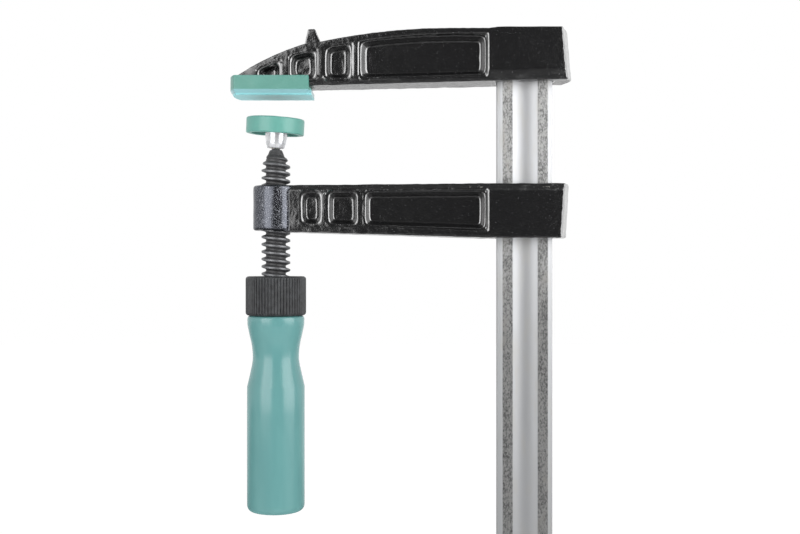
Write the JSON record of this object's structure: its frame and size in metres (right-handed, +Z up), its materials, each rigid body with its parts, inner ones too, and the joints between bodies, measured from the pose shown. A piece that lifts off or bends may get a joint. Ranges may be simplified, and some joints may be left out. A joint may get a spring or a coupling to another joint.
{
  "type": "bar clamp",
  "caption": "Bar clamp: a fixed jaw on a grooved steel rail, a sliding arm with a threaded spindle, a swivelling pressure pad and a straight handle.",
  "frame": {"origin": "centre of the fixed jaw's clamping face, on the spindle's axis", "axes": "+Z up the rail towards the fixed jaw, +X from the spindle to the rail, +Y across the rail's thickness"},
  "size_m": [0.1841, 0.0326, 0.3943],
  "materials": {
    "rail_steel": "bright rolled steel, rough rolled lands",
    "pin_steel": "plain spring steel",
    "black_enamel": "glossy black enamel over a cast skin, worn at the edges",
    "green_shoe": "satin moulded plastic",
    "thread_steel": "dark burnished rolled thread",
    "liner_plastic": "natural acetal",
    "zinc_plate": "bright zinc plating",
    "handle_green": "smooth satin gloss moulded plastic",
    "collar_black": "fine ribbed moulded plastic"
  },
  "bodies": {
    "rail": {"guide_rail": "rail_steel", "fixed_jaw": "black_enamel", "fixed_jaw_cap": "green_shoe", "rail_stop_pin": "pin_steel"},
    "sliding_arm": {"sliding_arm": "black_enamel"},
    "ball_seat": {"ball_liner": "liner_plastic"},
    "spindle": {"spindle": "thread_steel", "spindle_handle": "handle_green", "handle_collar": "collar_black"},
    "pad": {"pressure_plate": "zinc_plate", "pressure_plate_cap": "green_shoe"}
  },
  "joints": [
    {"name": "arm_slide", "type": "slide", "parent": "rail", "child": "sliding_arm", "axis": [0, 0, 1], "range_m": [-0.2665, 0]},
    {"name": "spindle_feed", "type": "slide", "parent": "sliding_arm", "child": "ball_seat", "axis": [0, 0, 1], "range_m": [-0.0221, 0.0089]},
    {"name": "spindle_turn", "type": "hinge", "parent": "ball_seat", "child": "spindle", "pos_m": [0, 0, -0.0241], "axis": [0, 0, 1], "range_deg": [-792, 1980]},
    {"name": "pad_swivel", "type": "hinge", "parent": "ball_seat", "child": "pad", "pos_m": [0, 0, -0.0241], "axis": [0, 1, 0], "range_deg": [-11.2, 4.8]}
  ],
  "couplings": [
    {"joint": "spindle_feed", "follows": "spindle_turn", "m_per_rad": -0.00063662}
  ]
}
